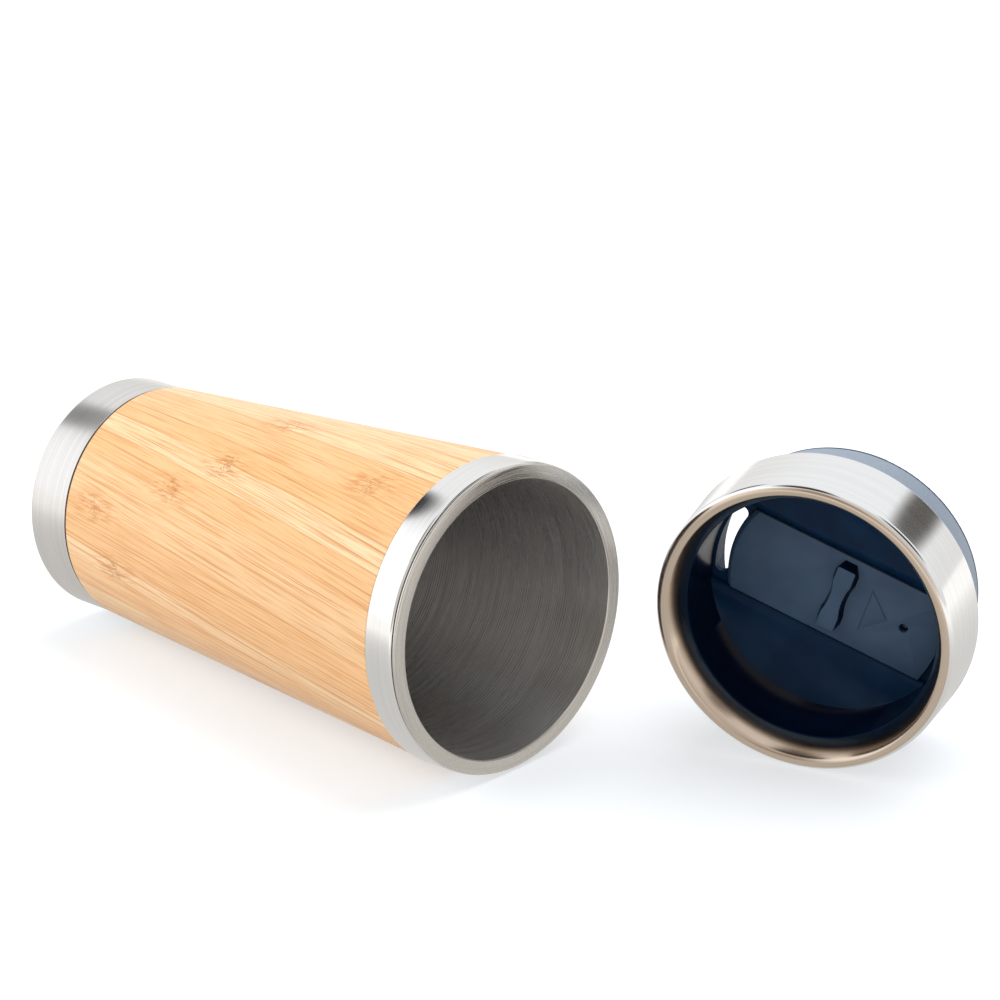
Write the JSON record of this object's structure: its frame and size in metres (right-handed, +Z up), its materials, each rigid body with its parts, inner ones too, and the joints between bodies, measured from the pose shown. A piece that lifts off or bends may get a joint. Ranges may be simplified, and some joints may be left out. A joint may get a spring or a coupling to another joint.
{
  "type": "insulated travel mug with lid",
  "caption": "Insulated travel mug with a bamboo sleeve and steel liner, lying on its side, and its sliding-hatch lid standing on edge beside it.",
  "frame": {"origin": "middle of the bounding box of the mug and its lid, at the surface they rest on", "axes": "+Z up; +X the way the mug's mouth faces as it lies, nearly along its axis; +Y across, from the mug toward the lid"},
  "size_m": [0.2604, 0.1443, 0.0868],
  "materials": {
    "brushed_steel": "fine turned lines, satin",
    "polished_steel": "polished, faint turned lines",
    "getter_metal": "dull pressed tablet",
    "sealing_glass": "fused bead",
    "bamboo": "turned laminated strips, satin lacquer",
    "black_plastic": "moulded, satin",
    "silicone": "matt"
  },
  "bodies": {
    "mug": {"inner_liner": "brushed_steel", "outer_shell": "brushed_steel", "shell_bottom": "brushed_steel", "getter": "getter_metal", "vacuum_seal": "sealing_glass", "bamboo_sleeve": "bamboo", "rim_collar": "polished_steel", "rim_seal": "silicone", "base_seal": "silicone", "base_insert": "black_plastic", "base_cup": "brushed_steel"},
    "lid": {"lid_ring": "polished_steel", "lid_well": "black_plastic", "lid_gasket": "silicone"},
    "slider": {"slider": "black_plastic", "slider_clip": "black_plastic"}
  },
  "joints": [
    {"name": "lid_lift", "type": "slide", "parent": "mug", "child": "lid", "axis": [0, 0, 1], "range_m": [0, 0.12]},
    {"name": "slider_run", "type": "slide", "parent": "lid", "child": "slider", "axis": [-0.8816, -0.346, 0.3211], "range_m": [-0.0017, 0.0045]}
  ]
}
